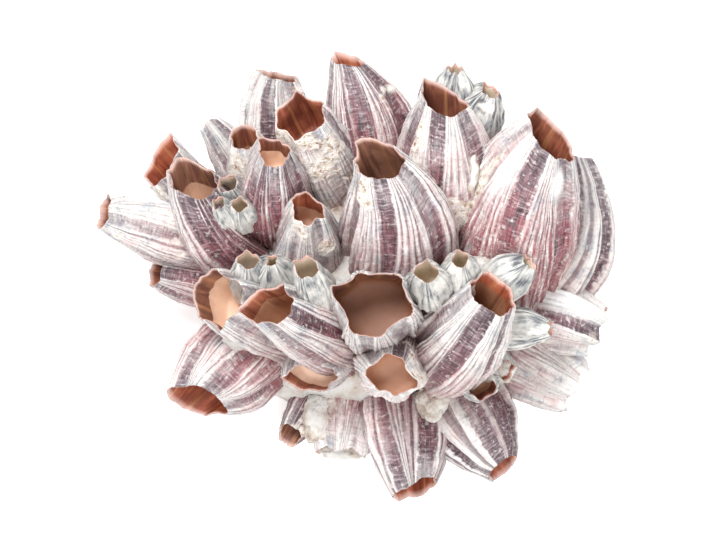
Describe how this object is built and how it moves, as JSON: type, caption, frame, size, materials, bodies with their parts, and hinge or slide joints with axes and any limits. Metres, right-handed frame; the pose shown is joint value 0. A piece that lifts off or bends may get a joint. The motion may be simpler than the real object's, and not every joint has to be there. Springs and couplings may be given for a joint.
{
  "type": "barnacle cluster",
  "caption": "Dome of purple, white and rose acorn barnacle shells with brown hollow mouths, grown on one lump that is cut off flat to rest on.",
  "frame": {"origin": "in the flat cut, under the middle of the cluster", "axes": "+X along the cluster's longest way, to the right in the picture; +Y up in the picture; +Z out of the flat cut, towards the picture's camera"},
  "size_m": [0.1871, 0.1629, 0.0976],
  "materials": {
    "mauve_shell": "dull ribbed shell, white with mauve and plum stripes",
    "plum_shell": "dull ribbed shell, mostly dark plum",
    "rose_shell": "dull ribbed shell with rose-red stripes low down",
    "pale_shell": "dull ribbed shell, mostly white and pale pink",
    "grey_shell": "satin ribbed shell, slate grey and white",
    "cement": "rough chalky shell cement"
  },
  "bodies": {
    "root": {"old_shell_lump": "cement", "wide_mouth_barnacle": "pale_shell", "lower_middle_barnacle": "pale_shell", "right_middle_barnacle": "mauve_shell", "left_middle_barnacle": "mauve_shell", "centre_tall_barnacle": "mauve_shell", "egg_barnacle": "mauve_shell", "inner_left_barnacle": "rose_shell", "giant_barnacle": "rose_shell", "north_tall_barnacle": "rose_shell", "diamond_barnacle": "pale_shell", "open_left_barnacle": "mauve_shell", "dark_striped_barnacle": "plum_shell", "downward_barnacle": "pale_shell", "peak_barnacle": "mauve_shell", "left_peak_barnacle": "mauve_shell", "grey_shouldered_barnacle": "pale_shell", "torn_left_barnacle": "mauve_shell", "left_barnacle": "pale_shell", "low_left_barnacle": "rose_shell", "bottom_left_barnacle": "mauve_shell", "bottom_barnacle": "mauve_shell", "bottom_right_barnacle": "mauve_shell", "broken_wall_barnacle": "rose_shell", "right_fan_barnacle": "pale_shell", "lower_right_fan_barnacle": "pale_shell", "far_right_barnacle": "mauve_shell", "hidden_left_barnacle": "mauve_shell", "brown_tip_barnacle": "plum_shell", "young_barnacle_back_a": "grey_shell", "young_barnacle_back_b": "grey_shell", "young_barnacle_notch": "grey_shell", "young_barnacle_pearl_a": "grey_shell", "young_barnacle_pearl_b": "grey_shell", "young_barnacle_left_a": "grey_shell", "young_barnacle_left_b": "grey_shell", "young_barnacle_middle": "grey_shell", "young_barnacle_right_a": "grey_shell", "young_barnacle_right_b": "grey_shell", "young_barnacle_slope": "grey_shell", "young_barnacle_shelf": "grey_shell", "young_barnacle_crushed": "grey_shell", "young_barnacle_ledge": "grey_shell"}
  },
  "joints": []
}
